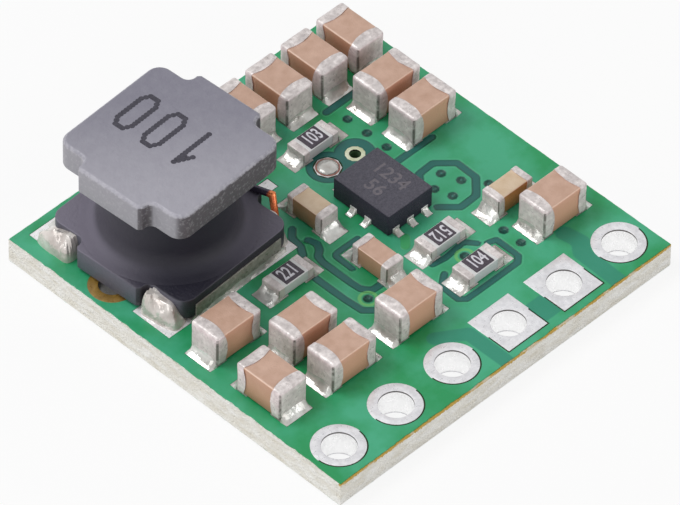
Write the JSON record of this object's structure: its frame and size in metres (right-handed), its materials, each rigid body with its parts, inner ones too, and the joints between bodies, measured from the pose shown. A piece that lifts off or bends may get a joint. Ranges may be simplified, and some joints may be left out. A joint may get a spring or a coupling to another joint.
{
  "type": "boost converter module",
  "caption": "Square converter circuit board with a notched drum choke, chip capacitors and resistors, a small moulded regulator and a row of plated header holes.",
  "frame": {"origin": "centre of the board's footprint, at the level of its lowest pads", "axes": "+Z out of the component side, +X along the header row, +Y from the header row towards the choke"},
  "size_m": [0.015, 0.015, 0.0055],
  "materials": {
    "board": "satin green coat over glass fibre",
    "tinned_metal": "satin tin",
    "solder": "mottled solder",
    "brown_ceramic": "matt",
    "yellow_ceramic": "matt",
    "white_ceramic": "matt",
    "dark_coat": "satin",
    "moulding": "matt",
    "ferrite": "matt, slightly rough",
    "copper_wire": "enamelled copper"
  },
  "bodies": {
    "root": {"laminate": "board", "header_sleeves": "tinned_metal", "edge_hole_sleeve": "tinned_metal", "open_via_sleeve": "tinned_metal", "solder_pads": "tinned_metal", "board_solder": "solder", "capacitor_1_body": "brown_ceramic", "capacitor_1_terminals": "tinned_metal", "capacitor_2_body": "brown_ceramic", "capacitor_2_terminals": "tinned_metal", "capacitor_3_body": "brown_ceramic", "capacitor_3_terminals": "tinned_metal", "capacitor_4_body": "brown_ceramic", "capacitor_4_terminals": "tinned_metal", "capacitor_5_body": "brown_ceramic", "capacitor_5_terminals": "tinned_metal", "capacitor_6_body": "brown_ceramic", "capacitor_6_terminals": "tinned_metal", "capacitor_7_body": "brown_ceramic", "capacitor_7_terminals": "tinned_metal", "capacitor_8_body": "brown_ceramic", "capacitor_8_terminals": "tinned_metal", "capacitor_9_body": "brown_ceramic", "capacitor_9_terminals": "tinned_metal", "capacitor_10_body": "brown_ceramic", "capacitor_10_terminals": "tinned_metal", "capacitor_11_body": "brown_ceramic", "capacitor_11_terminals": "tinned_metal", "capacitor_12_body": "brown_ceramic", "capacitor_12_terminals": "tinned_metal", "capacitor_13_body": "yellow_ceramic", "capacitor_13_terminals": "tinned_metal", "capacitor_14_body": "yellow_ceramic", "capacitor_14_terminals": "tinned_metal", "capacitor_15_body": "brown_ceramic", "capacitor_15_terminals": "tinned_metal", "resistor_1_body": "white_ceramic", "resistor_1_terminals": "tinned_metal", "resistor_1_coat": "dark_coat", "resistor_2_body": "white_ceramic", "resistor_2_terminals": "tinned_metal", "resistor_2_coat": "dark_coat", "resistor_3_body": "white_ceramic", "resistor_3_terminals": "tinned_metal", "resistor_3_coat": "dark_coat", "resistor_4_body": "white_ceramic", "resistor_4_terminals": "tinned_metal", "resistor_4_coat": "dark_coat", "regulator_body": "moulding", "regulator_leads": "tinned_metal", "choke_core": "ferrite", "choke_winding": "copper_wire", "choke_wire_ends": "copper_wire", "choke_electrodes": "tinned_metal", "choke_solder": "solder"}
  },
  "joints": []
}
